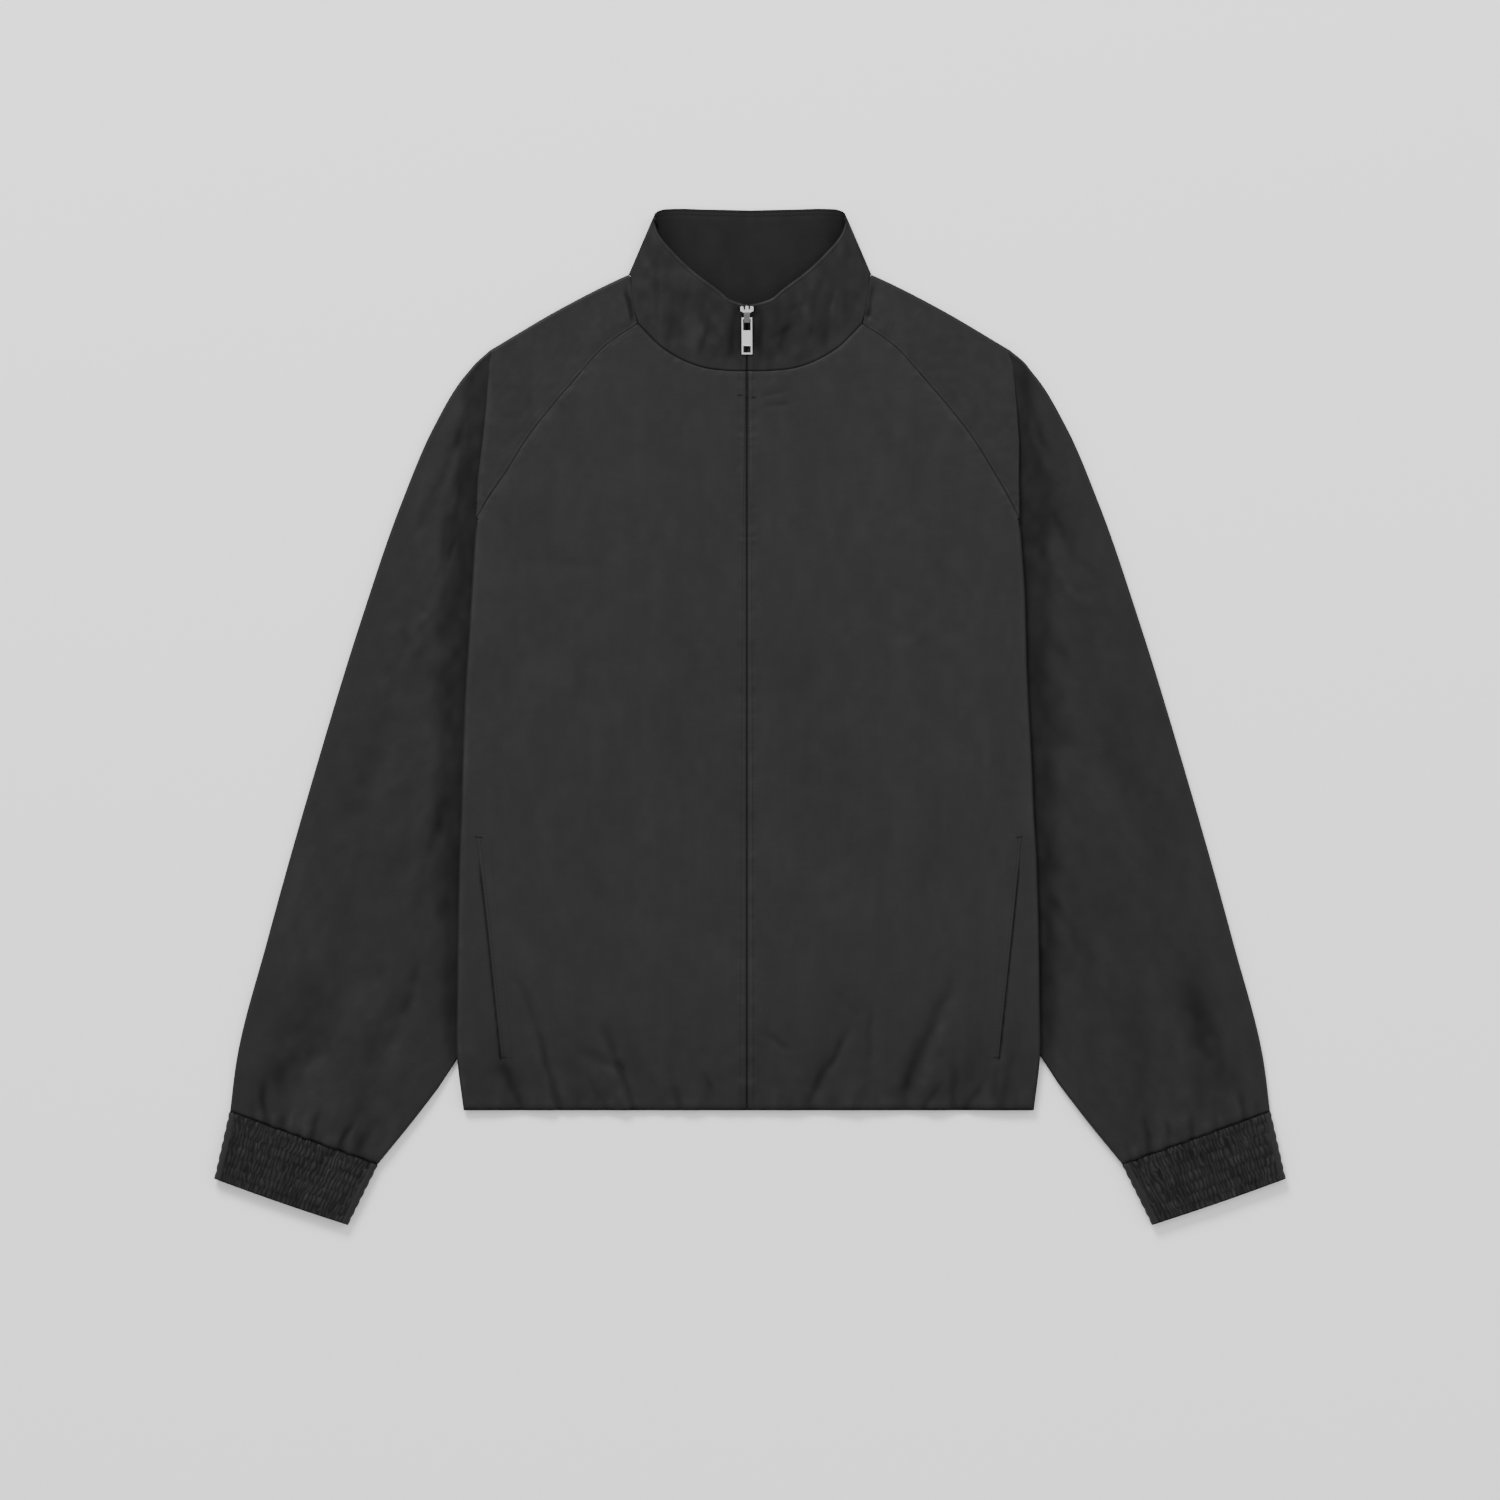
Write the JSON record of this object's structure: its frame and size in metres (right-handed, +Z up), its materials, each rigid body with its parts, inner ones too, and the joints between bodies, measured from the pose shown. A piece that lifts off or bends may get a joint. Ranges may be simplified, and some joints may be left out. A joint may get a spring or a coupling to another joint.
{
  "type": "track jacket",
  "caption": "Zip-front track jacket laid flat, with raglan sleeves, stand collar, slanted welt pockets, shirred cuffs and a hinged zip pull.",
  "frame": {"origin": "centre of the jacket's outline, on the surface that it lies on", "axes": "+X across the jacket to the wearer's left, +Y from hem to collar, +Z up from the surface through the back to the fronts"},
  "size_m": [0.856, 0.8128, 0.0169],
  "materials": {
    "shell_cloth": "plain woven nylon with a soft sheen, charcoal black",
    "cuff_cloth": "same cloth gathered on rows of elastic",
    "zip_tape": "woven tape, black",
    "zip_metal": "satin silver metal"
  },
  "bodies": {
    "jacket": {"back_panel": "shell_cloth", "front_left": "shell_cloth", "front_right": "shell_cloth", "sleeve_left": "shell_cloth", "sleeve_right": "shell_cloth", "collar": "shell_cloth", "pocket_welt_left": "shell_cloth", "pocket_welt_right": "shell_cloth", "cuff_left": "cuff_cloth", "cuff_right": "cuff_cloth", "zip_tape_left": "zip_tape", "zip_tape_right": "zip_tape", "zip_slider": "zip_metal"},
    "pull": {"zip_pull": "zip_metal"}
  },
  "joints": [
    {"name": "pull_hinge", "type": "hinge", "parent": "jacket", "child": "pull", "pos_m": [-0.0025, 0.31752, 0.01413], "axis": [-1, 0, 0], "range_deg": [0, 150]}
  ]
}
